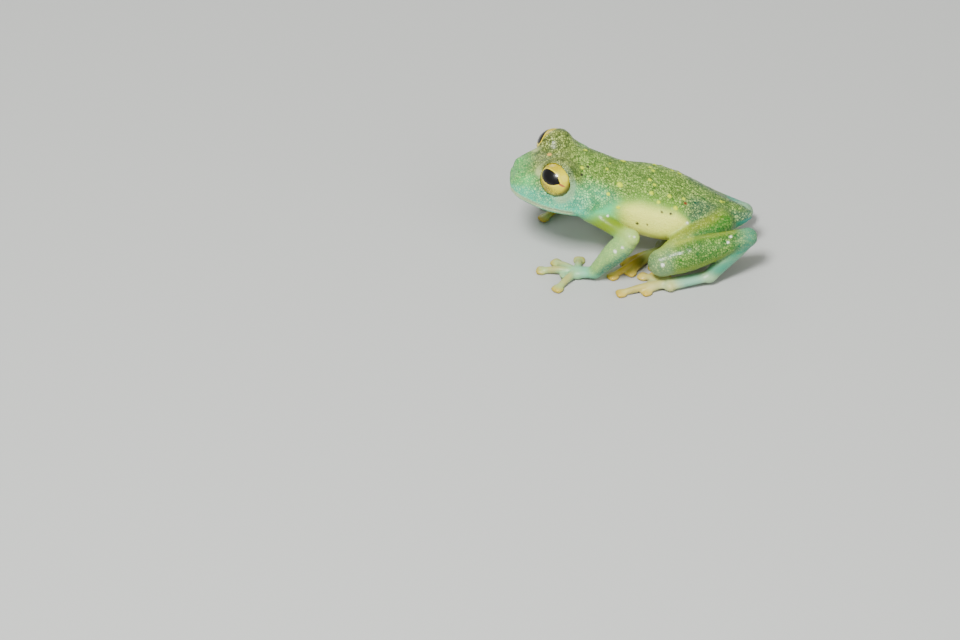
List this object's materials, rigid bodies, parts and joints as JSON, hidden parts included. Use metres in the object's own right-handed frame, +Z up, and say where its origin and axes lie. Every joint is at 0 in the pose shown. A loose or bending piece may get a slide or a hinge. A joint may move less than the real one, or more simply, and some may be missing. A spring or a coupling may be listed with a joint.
{
  "type": "glass frog figure",
  "caption": "Life-size still model of a small glass frog crouching with folded hind legs, raised head, large bulging eyes and disc-tipped toes.",
  "frame": {"origin": "middle of the frog's bounding box, on the floor under its feet", "axes": "-X out of the snout, +X past the heels, -Y towards the frog's own left side, +Z up"},
  "size_m": [0.0246, 0.018, 0.0126],
  "materials": {
    "skin_back": "moist satin",
    "skin_limb": "moist satin",
    "skin_digit": "moist satin",
    "eye": "wet gloss"
  },
  "bodies": {
    "root": {"head": "skin_back", "torso": "skin_back", "eye_left": "eye", "eye_right": "eye", "upper_arm_left": "skin_limb", "upper_arm_right": "skin_limb", "forearm_left": "skin_limb", "forearm_right": "skin_limb", "hand_left": "skin_digit", "hand_right": "skin_digit", "thigh_left": "skin_back", "thigh_right": "skin_back", "shank_left": "skin_limb", "shank_right": "skin_limb", "tarsus_left": "skin_limb", "tarsus_right": "skin_limb", "foot_left": "skin_digit", "foot_right": "skin_digit"}
  },
  "joints": []
}
